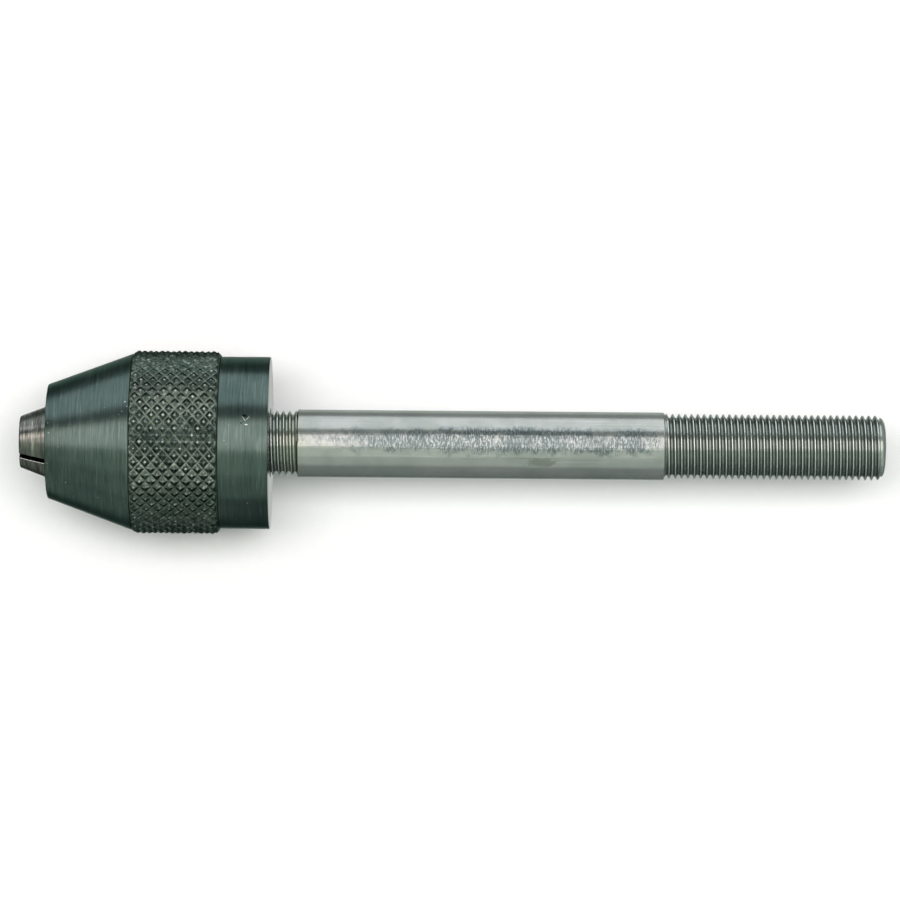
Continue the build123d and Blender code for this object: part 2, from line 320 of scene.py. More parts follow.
def build_shank():
    """Plain shank with a short thread for the chuck, a long thread at the far end and a spigot at the tip."""
    runout = 0.2 * pitch
    front_phase, rear_phase = 0.27, 0.68
    lead_in = 0.9 * MM
    shoulder_slope = 2.5
    rounding = 1.15 * MM
    crest_step = 0.15 * MM
    groove_start = 0.1 * MM
    groove_run_in = 0.6 * pitch
    plain_overlap = 0.3 * MM
    end_face_inset = 0.3 * MM
    end_face_r = radii_at("threaded_shank", shank_end)[-1] - end_face_inset
    centre_r = radii_at("threaded_shank", shank_end)[0]
    screw_hole_r = 1.27 * MM
    screw_hole_depth = 7 * MM
    edge = 0.12 * MM

    def front_thread(x, turn):
        depth = thread_depth * (1 - ramp(x, -runout, 0.0))
        groove_r = crest_r - depth * (1 - thread_height(turn))
        shoulder_r = min(shank_r, shank_r + shoulder_slope * x)
        lead_in_r = spigot_r + x - bearing_back + lead_in
        return min(lead_in_r, max(groove_r, shoulder_r))

    def rear_thread(x, turn):
        body = shank_r + (crest_r - shank_r) * ramp(x, shank_length, shank_length + crest_step)
        depth = thread_depth * ramp(x, shank_length - groove_start, shank_length + groove_run_in)
        into_rounding = max(0.0, 1 - (shank_end - x) / rounding)
        end_r = body - (crest_r - end_face_r) * (1 - math.sqrt(1 - into_rounding**2))
        return min(end_r, body - depth * (1 - thread_height(turn)))

    def ring(x, r):
        return [(x, r)] * (SHANK_COLUMNS + 1)

    hole_bottom = spigot_end + screw_hole_depth
    rows = [ring(hole_bottom, 0), ring(hole_bottom - screw_hole_r, screw_hole_r)]
    rows += [ring(spigot_end, screw_hole_r), ring(spigot_end, spigot_r - edge)]
    rows += [ring(spigot_end + edge, spigot_r), ring(bearing_back, spigot_r)]
    rows += thread_rows(bearing_back, plain_overlap, front_phase, front_thread)
    rows += thread_rows(shank_length - plain_overlap, shank_end, rear_phase, rear_thread)
    rows += [ring(shank_end, end_face_r), ring(shank_end, centre_r), ring(shank_end - 2 * centre_r, 0)]

    vertices = []
    for row in rows:
        for column, (x, r) in enumerate(row):
            vertices.append(on_ring(x, r, column, SHANK_COLUMNS))
    return new_object("shank_turned", vertices, grid_faces(len(rows), SHANK_COLUMNS + 1))


# ---------------------------------------------------------------- shell
def build_rear_cap():
    """Smooth band behind the knurl, with the nut bore and the spigot that screws into the barrel."""
    spigot_front, nut_front = stations("rear_cap")[:2]
    recess_r, spigot_outer_r = radii_at("rear_cap", spigot_front)
    nut_r = radii_at("rear_cap", nut_front)[0]
    nut_chamfer = 0.25 * MM
    back_fillet = 0.08 * MM
    front_chamfer_length = 0.05 * MM
    front_chamfer_depth = 0.10 * MM
    front_fillet = 0.04 * MM
    spigot_fillet = 0.1 * MM
    corners = [
        (shell_back, nut_r + nut_chamfer, 0),
        (shell_back, cap_r, back_fillet),
        (cap_front + front_chamfer_length, cap_r, front_fillet),
        (cap_front, cap_r - front_chamfer_depth, 0),
        (cap_front, spigot_outer_r, 0),
        (spigot_front, spigot_outer_r, spigot_fillet),
        (spigot_front, recess_r, 0),
        (nut_front, recess_r, 0),
        (nut_front, nut_r, 0),
        (shell_back - nut_chamfer, nut_r, 0),
    ]
    cap = lathe("rear_cap_turned", rounded(corners))
    for face in cap.data.polygons:
        # The back face takes the lighter faced steel, a painted reflection.
        if face.normal.x > SQUARE_TO:
            face.material_index = 1
    return cap


def build_nose_cone():
    """Smooth cone with a flat face, the jaws' conical bore and the barrel under the knurled sleeve."""
    mouth_r, face_r = radii_at("nose_cone", nose_face)
    barrel_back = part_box("nose_cone")[1].x
    bore_r, keyway_r, barrel_r = radii_at("nose_cone", barrel_back)
    mouth_chamfer = 0.15 * MM
    rim_inset = 0.15 * MM
    rim_fillet = 0.12 * MM
    joint_chamfer_length = 0.03 * MM
    joint_chamfer_depth = 0.06 * MM
    joint_fillet = 0.03 * MM
    barrel_fillet = 0.1 * MM
    cone_start_fillet = 0.2 * MM
    bore_mouth_r = mouth_r - mouth_chamfer
    bore_full = nose_face + (bore_r - bore_mouth_r) / cone_slope
    corners = [
        (nose_face, mouth_r, 0),
        (nose_face, face_r + rim_inset, rim_fillet),
        (sleeve_front - joint_chamfer_length, cone_large_r, joint_fillet),
        (sleeve_front, cone_large_r - joint_chamfer_depth, 0),
        (sleeve_front, barrel_r, 0),
        (barrel_back, barrel_r, barrel_fillet),
        (barrel_back, bore_r, barrel_fillet),
        (bore_full, bore_r, cone_start_fillet),
        (nose_face + mouth_chamfer, bore_mouth_r + mouth_chamfer * cone_slope, 0),
    ]
    cone = lathe("nose_cone_turned", rounded(corners))

    pins_front, pins_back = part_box("guide_pins")[0].x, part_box("guide_pins")[1].x
    pin_clearance = 0.05 * MM
    past_barrel = barrel_back + MM
    half_width = (pins_back - pins_front) / 2 + pin_clearance
    start = pins_front - shell_closing - pin_clearance + half_width
    round_end = [point for point in circle(start, 0, half_width) if point[0] <= start + ON_STATION]
    outline = [(past_barrel, -half_width), (past_barrel, half_width)] + round_end
    keyways = []
    for angle in jaw_angles.values():
        out = outward(angle + HALF_JAW)
        keyways.append(prism(outline, along(AXIS.cross(out), out), bore_r / 2, keyway_r))
    combine(cone, "DIFFERENCE", keyways)
    return cone


# Diamond knurl: round-bottomed grooves of two opposite helices, which cross at lattice points. The grid has
# KNURL_STEPS cells from a groove crossing to the next tip, so that grooves run along cell diagonals and
# ridges along cell edges.
KNURL_TEETH = 42
KNURL_STEPS = 8
KNURL_DEPTH = 0.38 * MM
KNURL_CHAMFER = 0.5 * MM
KNURL_PITCH = 1.364 * MM


def knurl_height(first, second, unevenness):
    """Height of the knurl from 0 in a groove to 1 on a tip, from its place across the two groove families."""
    from_first = 1 - abs(2 * (first % 1) - 1)
    from_second = 1 - abs(2 * (second % 1) - 1)
    tooth = (math.floor(first) % (2 * KNURL_TEETH), math.floor(second) % (2 * KNURL_TEETH))
    from_groove = min(from_first, from_second)
    flank = 0.35 * from_groove + 0.65 * ramp(from_groove, 0.0, 1.0)
    return flank * unevenness[tooth[0]][tooth[1]]


def build_knurled_sleeve():
    """Knurled ring with chamfered ends and a smooth bore."""
    bore_r = radii_at("knurled_sleeve", sleeve_front)[0]
    dice = random.Random(7)
    teeth = range(2 * KNURL_TEETH)
    unevenness = [[dice.uniform(0.80, 1.0) for _ in teeth] for _ in teeth]
    length = cap_front - sleeve_front
    tooth_cells = 2 * KNURL_STEPS
    row_count = round(tooth_cells * length / KNURL_PITCH)
    columns = KNURL_TEETH * tooth_cells

    rows = []
    for row in range(row_count + 1):
        x = sleeve_front + length * row / row_count
        from_end = min(x - sleeve_front, cap_front - x)
        blank_r = knurl_r - max(0.0, KNURL_CHAMFER - from_end)
        radii = []
        for column in range(columns):
            height = knurl_height((column + row) / tooth_cells, (column - row) / tooth_cells, unevenness)
            radii.append(min(knurl_r - KNURL_DEPTH * (1 - height), blank_r))
        rows.append((x, radii))
    rows.append((cap_front, [bore_r] * columns))
    rows.append((sleeve_front, [bore_r] * columns))

    vertices = []
    for x, radii in rows:
        for column, r in enumerate(radii):
            vertices.append(on_ring(x, r, column, columns))
    faces = []
    for row in range(len(rows)):
        below = (row + 1) % len(rows)
        for column in range(columns):
            onward = (column + 1) % columns
            here, beside = row * columns + column, row * columns + onward
            under, under_beside = below * columns + column, below * columns + onward
            if (column + row + 1) % tooth_cells == 0:
                faces += [(here, beside, under), (beside, under_beside, under)]
            elif (column - row) % tooth_cells == 0:
                faces += [(here, under_beside, under), (here, beside, under_beside)]
            else:
                faces.append((here, beside, under_beside, under))
    return new_object("knurled_sleeve_cut", vertices, faces)


# ---------------------------------------------------------------- jaws
# Least share of a bright edge's normal, painted as a highlight, that points into the slit, and away from the axis
EDGE_INTO_SLIT = 0.3
EDGE_OUTWARD = 0.2


def jaw_section(outer_r, bore_r, lift, apex, edge_r):
    """Cross-section of a jaw as (outward, sideways) points: outer arc, slit face, bore arc, slit face."""
    arc_steps, bore_steps = 32, 12
    face = Vector((math.cos(HALF_JAW), math.sin(HALF_JAW)))

    def reach(offset, radius):
        """Distance along the slit face, from its apex at the offset, to a circle about the origin."""
        return -offset * face.x + math.sqrt(radius * radius - (offset * face.y) ** 2)

    outer_corner = Vector((apex, 0)) + face * reach(apex, outer_r)
    inner_corner = Vector((lift + apex, 0)) + face * reach(lift + apex, bore_r)
    outer_angle = math.atan2(outer_corner.y, outer_corner.x)
    inner_angle = math.atan2(inner_corner.y, inner_corner.x)
    corners = []
    for step in range(arc_steps + 1):
        angle = outer_angle * (2 * step / arc_steps - 1)
        fillet = edge_r if step in (0, arc_steps) else 0
        corners.append((lift + outer_r * math.cos(angle), outer_r * math.sin(angle), fillet))
    for step in range(bore_steps + 1):
        angle = inner_angle * (1 - 2 * step / bore_steps)
        corners.append((bore_r * math.cos(angle), bore_r * math.sin(angle), 0))
    return rounded(corners)


def build_jaw(number):
    """One jaw: a coned sector with a grip bore, a relief behind it, spring pockets and a T-shaped tail."""
    angle = jaw_angles[number]
    out, side = outward(angle), AXIS.cross(outward(angle))
    grip = named(record["mounts"], "tool_grip")
    grip_r = grip["dims"]["r_mm"] * MM
    grip_front = grip["pos_m"][0]
    grip_back = grip_front + grip["dims"]["length_mm"] * MM
    relief_r = radii_at("jaw_1", jaw_back)[0]
    edge = 0.05 * MM
    slit_fillet = 0.08 * MM
    pocket_clearance = 0.05 * MM
    apex = 0.0173 * MM  # from the axis to where a closed jaw's slit faces would meet
    under_mouth = 0.18 * MM
    passing_r = radii_at("nose_cone", nose_face)[0] - under_mouth
    tip_r = passing_r + cone_slope * (jaw_tip - nose_face - shell_closing)
    rear_r = radii_at("jaw_1", jaw_back)[-1] - jaw_lift
    cone_end = jaw_tip + (rear_r - tip_r) / cone_slope

    def outer(x):
        return min(rear_r, tip_r + cone_slope * (x - jaw_tip))

    profile = [
        (jaw_tip, outer(jaw_tip) - edge, grip_r + edge),
        (jaw_tip + edge, outer(jaw_tip + edge), grip_r + edge),
        (grip_front, outer(grip_front), grip_r),
        (grip_back, outer(grip_back), grip_r),
        (grip_back + edge, outer(grip_back + edge), relief_r),
        (cone_end, rear_r, relief_r),
        (jaw_back - edge, rear_r, relief_r),
        (jaw_back, rear_r - edge, relief_r),
    ]
    vertices, faces = [], []
    for x, outer_r, bore_r in profile:
        section = jaw_section(outer_r, bore_r, jaw_lift, apex, slit_fillet)
        vertices += [AXIS * x + out * u + side * w for u, w in section]
    around = len(section)
    for row in range(len(profile) - 1):
        for column in range(around):
            onward = (column + 1) % around
            here, below = row * around, (row + 1) * around
            faces.append((here + column, here + onward, below + onward, below + column))
    last = (len(profile) - 1) * around
    faces.append(tuple(range(around)))
    faces.append(tuple(last + column for column in range(around)))
    jaw = new_object(f"jaw_{number}_ground", vertices, faces)

    head_corners = corners_at(f"jaw_{number}", tail_end, out, side)
    head_inner, head_outer = min(head_corners)[0], max(head_corners)[0]
    head_half = max(abs(across) for _, across in head_corners)
    neck_half = min(abs(across) for _, across in corners_at(f"jaw_{number}", neck_back, out, side))
    neck = rectangle(jaw_back - edge, neck_back + edge, -neck_half, neck_half)
    head = rectangle(neck_back, tail_end, -head_half, head_half)
    tails = [prism(shape, along(side, out), head_inner, head_outer) for shape in (neck, head)]
    combine(jaw, "UNION", tails)

    pocket = circle(spring_middle.x, spring_circle_r, spring_r + pocket_clearance)
    pockets = []
    for sign in (-1, 1):
        slit_out = outward(angle + sign * HALF_JAW)
        slit_side = AXIS.cross(slit_out) * -sign
        pockets.append(prism(pocket, along(slit_out, slit_side), 0, spring_half + jaw_lift))
    combine(jaw, "DIFFERENCE", pockets)

    for face in jaw.data.polygons:
        for sign in (-1, 1):
            slit_out = outward(angle + sign * HALF_JAW)
            into_slit = face.normal.dot(AXIS.cross(slit_out) * sign)
            # Faces into a slit take the near-black painted shade.
            if into_slit > SQUARE_TO:
                face.material_index = 1
            # Edges along the slits take the near-white paint: wear and a painted highlight.
            elif into_slit > EDGE_INTO_SLIT and face.normal.dot(slit_out) > EDGE_OUTWARD:
                face.material_index = 2
    return jaw


# ---------------------------------------------------------------- materials
# Places of the colour sockets among the inputs and outputs of a mix node
MIX_SHARE = 0
MIX_FIRST = 6
MIX_SECOND = 7
MIX_RESULT = 2


def feed(tree, socket, value):
    """Links a socket to another, or sets its value."""
    if isinstance(value, bpy.types.NodeSocket):
        tree.links.new(value, socket)
    else:
        socket.default_value = value


class Shader:
    """A material's node tree, with short calls for the nodes that the materials here use."""

    def __init__(self, name):
        self.material = bpy.data.materials.new(name)
        self.material.use_nodes = True
        self.tree = self.material.node_tree
        self.surface = self.tree.nodes["Principled BSDF"]

    def node(self, kind, inputs=None, **settings):
        """A node with its settings, and its inputs set to values or linked to sockets."""
        made = self.tree.nodes.new(kind)
        for key, value in settings.items():
            setattr(made, key, value)
        for key, value in (inputs or {}).items():
            self.put(made.inputs[key], value)
        return made

    def put(self, socket, value):
        """Links a socket to another, or sets its value."""
        feed(self.tree, socket, value)

    def shade(self, **inputs):
        """Sets or links inputs of the surface shader, named with underscores for spaces."""
        for key, value in inputs.items():
            self.put(self.surface.inputs[key.replace("_", " ")], value)

    def math(self, operation, first, second=0.0, clamp=False):
        """Result of a sum on one or two values."""
        made = self.node("ShaderNodeMath", {0: first, 1: second}, operation=operation, use_clamp=clamp)
        return made.outputs[0]

    def steps(self, value, low, high):
        """0 to 1 as a value goes from low to high, smooth at both ends."""
        inputs = {"Value": value, "From Min": low, "From Max": high}
        return self.node("ShaderNodeMapRange", inputs, interpolation_type="SMOOTHSTEP").outputs["Result"]

    def mix(self, share, first, second):
        """Colour between two colours."""
        made = self.node("ShaderNodeMix", data_type="RGBA")
        self.put(made.inputs[MIX_SHARE], share)
        self.put(made.inputs[MIX_FIRST], first)
        self.put(made.inputs[MIX_SECOND], second)
        return made.outputs[MIX_RESULT]

    def noise(self, vector, scale, detail=2.0, roughness=0.5):
        """Smooth noise, about 0.5 on average."""
        made = self.node(
            "ShaderNodeTexNoise", {"Vector": vector, "Scale": scale, "Detail": detail, "Roughness": roughness}
        )
        return made.outputs["Fac"]

    def place(self):
        """Position on the part, in metres."""
        return self.node("ShaderNodeTexCoord").outputs["Object"]

    def turned(self, along, around):
        """Coordinates for marks round the axis: so many per metre along it, and so many a radian round it."""
        split = self.node("ShaderNodeSeparateXYZ", {0: self.place()})
        radius = self.radius()
        parts = {
            0: self.math("MULTIPLY", split.outputs[0], along),
            1: self.math("MULTIPLY", self.math("DIVIDE", split.outputs[1], radius), around),
            2: self.math("MULTIPLY", self.math("DIVIDE", split.outputs[2], radius), around),
        }
        return self.node("ShaderNodeCombineXYZ", parts).outputs[0]

    def radius(self):
        """Distance from the axis, in metres."""
        split = self.node("ShaderNodeSeparateXYZ", {0: self.place()})
        squares = self.math(
            "ADD", self.math("POWER", split.outputs[1], 2.0), self.math("POWER", split.outputs[2], 2.0)
        )
        return self.math("SQRT", squares)

    def station(self):
        """Distance along the axis from the origin, in metres."""
        return self.node("ShaderNodeSeparateXYZ", {0: self.place()}).outputs[0]

    def bump(self, height, distance, strength=1.0, under=None):
        """Normal of a surface with a relief, on top of another normal if one is given."""
        made = self.node("ShaderNodeBump", {"Height": height, "Distance": distance, "Strength": strength})
        if under is not None:
            self.put(made.inputs["Normal"], under)
        return made.outputs["Normal"]

    def round_grain(self, anisotropy):
        """Stretches highlights along the axis, as grooves that run round it do."""
        tangent = self.node("ShaderNodeTangent", direction_type="RADIAL", axis="X")
        self.shade(Anisotropic=anisotropy, Anisotropic_Rotation=0.25, Tangent=tangent.outputs[0])

    def patch(self, mark, ragged=0.0):
        """1 inside an oval mark on a turned surface and 0 outside; noise may make its edge ragged."""
        out = outward(math.radians(90 - mark.angle))
        around = AXIS.cross(out)
        lean = math.radians(mark.lean)
        along = AXIS * math.cos(lean) + around * math.sin(lean)
        across = around * math.cos(lean) - AXIS * math.sin(lean)
        start = self.node("ShaderNodeVectorMath", {0: self.place(), 1: AXIS * mark.x}, operation="SUBTRACT")

        def share(direction, size):
            inputs = {0: start.outputs[0], 1: direction / size}
            return self.node("ShaderNodeVectorMath", inputs, operation="DOT_PRODUCT").outputs["Value"]

        long_way = self.math("POWER", share(along, mark.length / 2), 2.0)
        short_way = self.math("POWER", share(across, mark.width / 2), 2.0)
        reach = self.math("SQRT", self.math("ADD", long_way, short_way))
        if ragged:
            edge = self.noise(self.place(), 2.0 / mark.width, 2.0, 0.6)
            reach = self.math("ADD", reach, self.math("MULTIPLY", self.math("SUBTRACT", edge, 0.5), ragged))
        near_side = self.math("GREATER_THAN", share(out, 1.0), 0.0)
        return self.math("MULTIPLY", self.steps(reach, 1.3, 0.7), near_side)


class Mark:
    """A small mark's station, angle in degrees from straight up towards +Y, length, width and lean."""

    def __init__(self, x, angle, length, width, lean=0.0):
        self.x = x * MM
        self.angle = angle
        self.length = length * MM
        self.width = width * MM
        self.lean = lean


def grey(value):
    """Opaque grey of a given brightness."""
    return (value, value, value, 1)


SHELL_NICKS = [
    Mark(-6.1, 16.0, 0.75, 0.09, 55),
    Mark(-5.6, 16.5, 0.60, 0.08, -50),
    Mark(-5.8, 12.0, 0.35, 0.12, 10),
    Mark(-9.0, 56.0, 0.14, 0.14),
    Mark(-5.7, -44.0, 0.16, 0.12),
    Mark(-19.75, 23.5, 0.14, 0.12),
    Mark(-20.0, 27.0, 0.18, 0.16),
    Mark(-20.35, 20.5, 0.14, 0.12),
    Mark(-20.7, 18.5, 0.12, 0.10),
    Mark(-27.1, -39.0, 0.14, 0.12),
    Mark(-29.2, 18.0, 0.12, 0.12),
    Mark(-29.1, 8.0, 0.10, 0.10),
    Mark(-29.3, -22.0, 0.12, 0.10),
]
SHELL_DENTS = [
    Mark(-6.0, 18.0, 0.55, 0.30, 10),
    Mark(-6.4, 13.0, 0.20, 0.20),
]
SHELL_LIGHT = (0.26, 0.33, 0.30, 1)
SHELL_DARK = (0.055, 0.095, 0.085, 1)


def blackened_steel():
    """Turned and blackened steel: dark blue-green, with fine tool lines round the axis and small nicks."""
    m = Shader("blackened_steel_turned")
    fine = m.noise(m.turned(9000, 3), 1.0, 2.0, 0.6)
    lines = m.noise(m.turned(3800, 1.6), 1.0, 3.0, 0.7)
    waves = m.noise(m.turned(3300, 9), 1.0, 2.0, 0.6)
    cloud = m.noise(m.place(), 220.0, 3.0, 0.55)
    tone = m.mix(m.steps(cloud, 0.35, 0.65), (0.118, 0.170, 0.153, 1), (0.145, 0.196, 0.176, 1))
    tone = m.mix(m.math("MULTIPLY", m.steps(lines, 0.53, 0.70), 0.5), tone, SHELL_LIGHT)
    tone = m.mix(m.math("MULTIPLY", m.steps(lines, 0.47, 0.30), 0.5), tone, SHELL_DARK)
    tone = m.mix(m.math("MULTIPLY", m.steps(fine, 0.5, 0.28), 0.45), tone, SHELL_DARK)
    tone = m.mix(m.math("MULTIPLY", m.steps(fine, 0.55, 0.75), 0.3), tone, SHELL_LIGHT)
    specks = m.noise(m.place(), 2600.0, 1.0, 0.4)
    tone = m.mix(m.steps(specks, 0.79, 0.82), tone, (0.45, 0.50, 0.46, 1))
    for dent in SHELL_DENTS:
        tone = m.mix(m.patch(dent, 0.8), tone, (0.02, 0.035, 0.035, 1))
    for nick in SHELL_NICKS:
        tone = m.mix(m.patch(nick, 0.5), tone, (0.80, 0.84, 0.80, 1))
    rough = m.math("ADD", 0.24, m.math("MULTIPLY", lines, 0.12))
    m.shade(Base_Color=tone, Metallic=1.0, Roughness=rough, Specular_Tint=(0.38, 0.45, 0.42, 1))
    m.shade(Normal=m.bump(waves, 0.016 * MM, 0.8, m.bump(fine, 0.003 * MM, 0.6)))
    m.round_grain(0.7)
    return m.material


def faced_steel_painted_reflection():
    """Blackened faces square to the axis, lighter than the turned faces as a painted reflection of the pale floor,
    with the rings of a facing cut.
    """
    m = Shader("blackened_steel_faced")
    ring_place = m.math("MULTIPLY", m.radius(), 5500.0)
    rings = m.node("ShaderNodeTexNoise", {"W": ring_place, "Detail": 3.0}, noise_dimensions="1D").outputs[0]
    film = m.noise(m.place(), 900.0, 3.0, 0.6)
    # Lighter tone than the turned steel: a painted reflection of the floor.
    tone = m.mix(m.steps(film, 0.3, 0.7), (0.15, 0.195, 0.18, 1), (0.22, 0.255, 0.235, 1))
    tone = m.mix(m.math("MULTIPLY", m.steps(rings, 0.5, 0.75), 0.5), tone, SHELL_LIGHT)
    m.shade(Base_Color=tone, Metallic=1.0, Roughness=0.12)
    m.shade(Normal=m.bump(rings, 0.001 * MM, 0.3))
    return m.material


def knurled_steel():
    """Blackened knurl: flanks in painted shade, painted highlights along the groove bottoms, and tips worn bright
    with a painted highlight.
    """
    m = Shader("blackened_steel_knurled")
    speckle = m.noise(m.place(), 3600.0, 2.0, 0.6)
    grain = m.noise(m.place(), 2400.0, 3.0, 0.65)
    cloud = m.noise(m.place(), 260.0, 2.0, 0.5)
    # Dark base for the flanks: painted shade.
    tone = m.mix(m.steps(cloud, 0.35, 0.65), (0.078, 0.108, 0.091, 1), (0.115, 0.146, 0.122, 1))
    tone = m.mix(m.math("MULTIPLY", m.steps(grain, 0.52, 0.66), 0.8), tone, (0.34, 0.40, 0.345, 1))
    tone = m.mix(m.math("MULTIPLY", m.steps(grain, 0.47, 0.33), 0.8), tone, (0.025, 0.045, 0.035, 1))
    # Painted highlight: lighter lines along the groove bottoms.
    bottom = m.steps(m.radius(), knurl_r - 0.86 * KNURL_DEPTH, knurl_r - 0.97 * KNURL_DEPTH)
    groove_painted_highlight = m.math("MULTIPLY", bottom, m.steps(m.noise(m.place(), 420.0, 2.0, 0.5), 0.30, 0.55))
    tone = m.mix(m.math("MULTIPLY", groove_painted_highlight, 0.5), tone, (0.30, 0.36, 0.30, 1))
    # Tips worn bright, with a painted highlight on top.
    tip = m.steps(m.radius(), knurl_r - 0.34 * KNURL_DEPTH, knurl_r - 0.14 * KNURL_DEPTH)
    wear_and_highlight = m.math("MULTIPLY", tip, m.steps(m.noise(m.place(), 900.0, 1.0, 0.5), 0.36, 0.62))
    tone = m.mix(m.math("MULTIPLY", wear_and_highlight, 0.8), tone, (0.76, 0.81, 0.74, 1))
    m.shade(Base_Color=tone, Metallic=1.0, Roughness=0.28, Specular_Tint=(0.3, 0.35, 0.32, 1))
    m.shade(Normal=m.bump(speckle, 0.018 * MM, 0.9, m.bump(grain, 0.024 * MM, 0.8)))
    return m.material


SHANK_WEAR = Mark(31, 7, 58, 2.9)
SHANK_STAIN = Mark(28.9, -31, 3.2, 1.1)
SHANK_SCRATCHES = [Mark(27.8, -23, 8.6, 0.07), Mark(20.5, -25, 3.4, 0.06, 1)]


def bright_steel():
    """Ground shank: pale steel with handling marks, and threads with oily flanks, crests worn bright with a
    painted highlight, and roots lightened with painted light.
    """
    m = Shader("bright_steel_ground")
    x = m.station()
    before_rear = m.steps(x, shank_length + 0.4 * MM, shank_length + 0.2 * MM)
    plain = m.math("MULTIPLY", m.steps(x, -0.1 * MM, 0.1 * MM), before_rear)
    drawn = m.noise(m.turned(40, 18), 1.0, 4.0, 0.7)
    smudge = m.noise(m.place(), 240.0, 4.0, 0.6)
    tone = m.mix(m.steps(smudge, 0.35, 0.7), (0.57, 0.59, 0.56, 1), (0.47, 0.50, 0.465, 1))
    tone = m.mix(m.math("MULTIPLY", m.steps(drawn, 0.55, 0.75), 0.45), tone, (0.36, 0.40, 0.385, 1))
    tone = m.mix(m.math("MULTIPLY", m.steps(drawn, 0.45, 0.25), 0.6), tone, (0.78, 0.81, 0.79, 1))

    # A stripe worn by handling along the plain part, with pits, and short chatter marks side by side
    uneven = m.steps(m.noise(m.place(), 170.0, 3.0, 0.6), 0.30, 0.46)
    worn = m.math("MULTIPLY", m.patch(SHANK_WEAR, 1.2), uneven)
    pits = m.noise(m.place(), 3000.0, 2.0, 0.65)
    comb = m.noise(m.turned(8500, 7.5), 1.0, 2.0, 0.65)
    clusters = m.math("MULTIPLY", m.steps(m.noise(m.turned(330, 0.8), 1.0, 2.0, 0.6), 0.46, 0.60), worn)
    tone = m.mix(m.math("MULTIPLY", worn, 0.6), tone, (0.50, 0.545, 0.56, 1))
    tone = m.mix(m.math("MULTIPLY", clusters, 0.5), tone, (0.25, 0.29, 0.295, 1))
    specks = m.math("MULTIPLY", m.steps(pits, 0.52, 0.62), worn)
    tone = m.mix(m.math("MULTIPLY", specks, 0.6), tone, (0.20, 0.24, 0.24, 1))
    chatter = m.math("MULTIPLY", m.steps(comb, 0.42, 0.54), worn)
    tone = m.mix(m.math("MULTIPLY", chatter, 0.9), tone, (0.145, 0.185, 0.19, 1))
    tone = m.mix(m.math("MULTIPLY", m.patch(SHANK_STAIN, 1.4), 0.45), tone, (0.20, 0.21, 0.15, 1))
    for scratch in SHANK_SCRATCHES:
        tone = m.mix(m.math("MULTIPLY", m.patch(scratch), 0.5), tone, (0.18, 0.20, 0.15, 1))

    # Threads: dark oily flanks between crests worn bright with a painted highlight and roots lightened with
    # painted light, more on the front thread
    threaded = m.math("SUBTRACT", 1.0, plain)
    oil = m.steps(m.noise(m.place(), 700.0, 2.0, 0.5), 0.2, 0.6)
    thread_tone = m.mix(oil, (0.25, 0.29, 0.265, 1), (0.145, 0.18, 0.155, 1))
    root = m.steps(m.radius(), crest_r - 0.80 * thread_depth, crest_r - 0.97 * thread_depth)
    # Painted light in the thread roots, stronger on the front thread.
    root_painted_light = m.math("ADD", 0.35, m.math("MULTIPLY", m.steps(x, shank_length, 0.0), 0.55))
    thread_tone = m.mix(m.math("MULTIPLY", root, root_painted_light), thread_tone, (0.52, 0.55, 0.51, 1))
    # Crests worn bright, with a painted highlight.
    crest_wear_and_highlight = m.steps(m.radius(), crest_r - 0.12 * thread_depth, crest_r - 0.02 * thread_depth)
    on_thread = m.steps(m.radius(), crest_r + 0.08 * MM, crest_r + 0.03 * MM)
    thread_tone = m.mix(m.math("MULTIPLY", crest_wear_and_highlight, on_thread), thread_tone, (0.74, 0.79, 0.76, 1))
    rounding = m.steps(x, shank_end - 1.0 * MM, shank_end - 0.6 * MM)
    thread_tone = m.mix(rounding, thread_tone, (0.56, 0.60, 0.56, 1))
    tone = m.mix(threaded, tone, thread_tone)
    olive_end = m.math("MULTIPLY", m.steps(x, -3.0 * MM, -0.8 * MM), m.steps(x, 1.2 * MM, 0.0))
    tone = m.mix(m.math("MULTIPLY", olive_end, 0.25), tone, (0.46, 0.47, 0.32, 1))
    # Painted shade: a dark ring in the corner at the shank's shoulder.
    shoulder_painted_shade = m.math("MULTIPLY", m.steps(x, -0.18 * MM, -0.12 * MM), m.steps(x, 0.06 * MM, 0.0))
    tone = m.mix(m.math("MULTIPLY", shoulder_painted_shade, 0.9), tone, (0.06, 0.08, 0.07, 1))

    rough = m.math("ADD", 0.10, m.math("MULTIPLY", smudge, 0.14))
    m.shade(Base_Color=tone, Metallic=0.82, Roughness=rough, Specular_Tint=(0.6, 0.66, 0.62, 1))
    dented = m.bump(pits, 0.012 * MM, m.math("MULTIPLY", worn, 0.6))
    drawn_lines = m.bump(drawn, 0.03 * MM, 0.4, dented)
    m.shade(Normal=m.bump(comb, 0.010 * MM, m.math("MULTIPLY", worn, 0.8), drawn_lines))
    return m.material


# Lighter stripe along the jaws where the overhead highlight falls: a painted highlight.
JAW_PAINTED_HIGHLIGHT = Mark(-31.2, 17, 9.0, 1.5)


